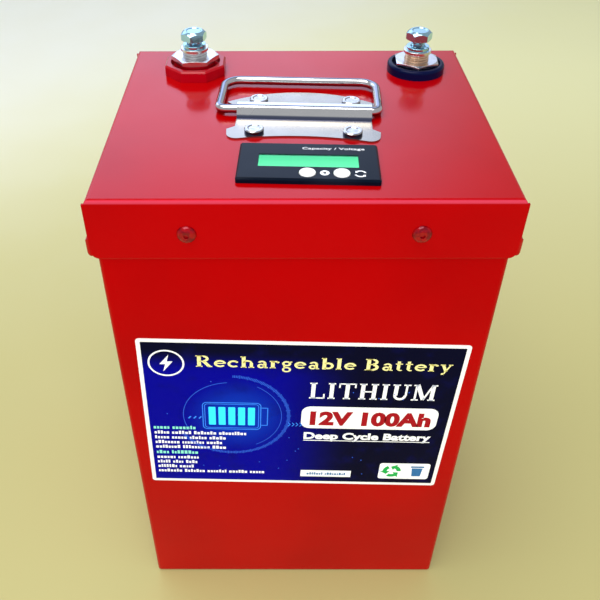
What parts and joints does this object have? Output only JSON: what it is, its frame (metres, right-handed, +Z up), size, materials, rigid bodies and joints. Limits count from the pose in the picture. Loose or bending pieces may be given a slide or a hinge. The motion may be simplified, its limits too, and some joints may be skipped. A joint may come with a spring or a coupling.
{
  "type": "deep cycle battery",
  "caption": "Upright sheet-steel deep cycle battery with a swing-up wire handle, a capacity display with push buttons, insulated bolt terminals and a prismatic cell pack.",
  "frame": {"origin": "middle of the footprint, on the surface that the battery stands on", "axes": "+Z up, -Y towards the label on the front, +X to the right seen from the front"},
  "size_m": [0.2038, 0.1794, 0.336],
  "materials": {
    "red_powder_coat": "glossy powder coat",
    "printed_label": "glossy laminated print",
    "bright_nickel_plate": "satin nickel",
    "chrome_plate": "polished plating",
    "rivet_steel": "bright zinc",
    "bezel_black": "polished",
    "clear_window": "clear",
    "lcd_glass": "backlit liquid crystal",
    "diffuser": "frosted",
    "circuit_board": "solder mask",
    "switch_metal": "satin",
    "white_nylon": "moulded",
    "button_white": "satin",
    "red_insulator": "polished moulding",
    "black_insulator": "polished moulding",
    "nickel": "bright nickel",
    "turned_brass": "turned",
    "zinc_plate": "blue-white zinc",
    "cell_film": "blue insulating film",
    "copper": "satin copper",
    "fibre_board": "glass-fibre board",
    "strap_steel": "satin",
    "foam": "closed-cell foam",
    "module_black": "matte",
    "heat_sink": "extruded",
    "tinned_copper": "tinned",
    "lead_red": "silicone",
    "lead_black": "silicone"
  },
  "bodies": {
    "battery": {"balance_connector": "white_nylon", "balance_leads": "lead_black", "base_pad": "foam", "bms_heat_sink": "heat_sink", "bms_module": "module_black", "bms_nuts": "nickel", "bms_screws": "rivet_steel", "busbars": "copper", "cable_lugs": "tinned_copper", "case_shell": "red_powder_coat", "cell_1": "cell_film", "cell_2": "cell_film", "cell_3": "cell_film", "cell_4": "cell_film", "cell_negative_lead": "lead_black", "cell_nuts": "nickel", "cell_spacers": "fibre_board", "display_backlight": "diffuser", "display_bezel": "bezel_black", "display_board": "circuit_board", "display_connector": "white_nylon", "display_leads": "lead_black", "display_panel": "lcd_glass", "display_switches": "switch_metal", "display_window": "clear_window", "end_plates": "fibre_board", "front_back_pads": "foam", "front_label": "printed_label", "handle_plate": "bright_nickel_plate", "handle_rivets": "rivet_steel", "inner_nuts": "nickel", "insulating_board": "fibre_board", "lid": "red_powder_coat", "lid_rivets": "red_powder_coat", "lower_bushes": "black_insulator", "negative_barrel": "turned_brass", "negative_insulator": "black_insulator", "pack_negative_lead": "lead_black", "pack_straps": "strap_steel", "positive_barrel": "nickel", "positive_insulator": "red_insulator", "positive_lead": "lead_red", "side_pads": "foam", "terminal_nuts": "nickel"},
    "handle": {"handle_bail": "chrome_plate"},
    "select_button": {"select_button": "button_white"},
    "mode_button": {"mode_button": "button_white"},
    "positive_washers": {"positive_flat_washer": "nickel", "positive_spring_washer": "zinc_plate"},
    "positive_bolt": {"positive_bolt": "zinc_plate"},
    "negative_washers": {"negative_flat_washer": "nickel", "negative_spring_washer": "zinc_plate"},
    "negative_bolt": {"negative_bolt": "zinc_plate"}
  },
  "joints": [
    {"name": "handle_swing", "type": "hinge", "parent": "battery", "child": "handle", "pos_m": [0.00205, -0.00435, 0.3153], "axis": [0.9984, -0.0558, 0], "range_deg": [0, 176]},
    {"name": "select_press", "type": "slide", "parent": "battery", "child": "select_button", "axis": [0, 0, -1], "range_m": [0, 0.0004], "stiffness_N_per_m": 500, "springref_m": -0.0004},
    {"name": "mode_press", "type": "slide", "parent": "battery", "child": "mode_button", "axis": [0, 0, -1], "range_m": [0, 0.0004], "stiffness_N_per_m": 500, "springref_m": -0.0004},
    {"name": "positive_lift", "type": "slide", "parent": "battery", "child": "positive_washers", "axis": [0, 0, 1], "range_m": [0, 0.0126]},
    {"name": "positive_unscrew", "type": "hinge", "parent": "positive_washers", "child": "positive_bolt", "pos_m": [-0.06, 0.0555, 0.32], "axis": [0, 0, 1], "range_deg": [0, 3600]},
    {"name": "negative_lift", "type": "slide", "parent": "battery", "child": "negative_washers", "axis": [0, 0, 1], "range_m": [0, 0.0126]},
    {"name": "negative_unscrew", "type": "hinge", "parent": "negative_washers", "child": "negative_bolt", "pos_m": [0.0695, 0.056, 0.32], "axis": [0, 0, 1], "range_deg": [0, 3600]}
  ],
  "couplings": [
    {"joint": "positive_lift", "follows": "positive_unscrew", "m_per_rad": 0.00019894},
    {"joint": "negative_lift", "follows": "negative_unscrew", "m_per_rad": 0.00019894}
  ]
}
